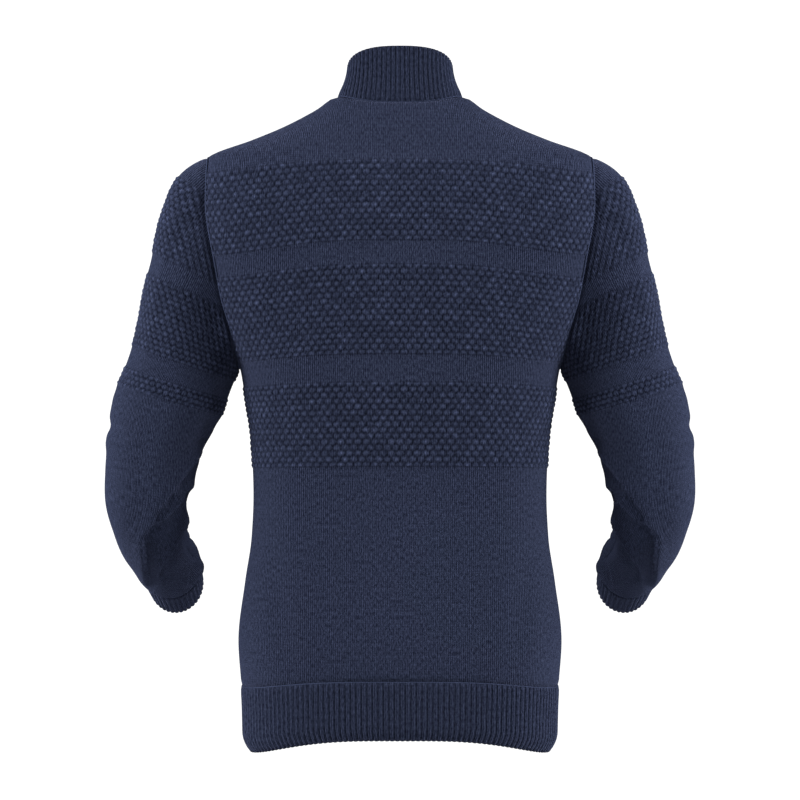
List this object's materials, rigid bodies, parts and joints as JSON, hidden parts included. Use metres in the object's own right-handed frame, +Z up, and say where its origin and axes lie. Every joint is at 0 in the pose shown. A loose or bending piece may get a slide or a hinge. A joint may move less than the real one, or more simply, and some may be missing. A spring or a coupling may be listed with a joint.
{
  "type": "zip cardigan",
  "caption": "Knitted stand-collar cardigan with textured bands, set-in sleeves, ribbed hem and cuffs and a full-length front zip, standing hollow as worn.",
  "frame": {"origin": "midway between the two side-neck points, where the wearer's shoulders carry the garment", "axes": "+Z up, -Y out of the fronts, +X towards the wearer's left"},
  "size_m": [0.649, 0.3418, 0.7682],
  "materials": {
    "knit": "plain and tuck-stitch wool knit, matt, navy",
    "rib": "one-by-one rib wool knit, matt, navy",
    "tape": "woven zip tape, navy",
    "metal": "dark gunmetal, satin"
  },
  "bodies": {
    "garment": {"back": "knit", "front_left": "knit", "front_right": "knit", "sleeve_left": "knit", "sleeve_right": "knit", "collar": "rib", "hem_back": "rib", "hem_left": "rib", "hem_right": "rib", "cuff_left": "rib", "cuff_right": "rib", "zip_tape_left": "tape", "zip_tape_right": "tape", "zip_chain": "metal", "zip_box": "metal", "zip_slider": "metal"},
    "pull_tab": {"zip_pull": "metal"}
  },
  "joints": [
    {"name": "pull_tab_hinge", "type": "hinge", "parent": "garment", "child": "pull_tab", "pos_m": [0, -0.07448, -0.01589], "axis": [-1, 0, 0], "range_deg": [0, 160]}
  ]
}
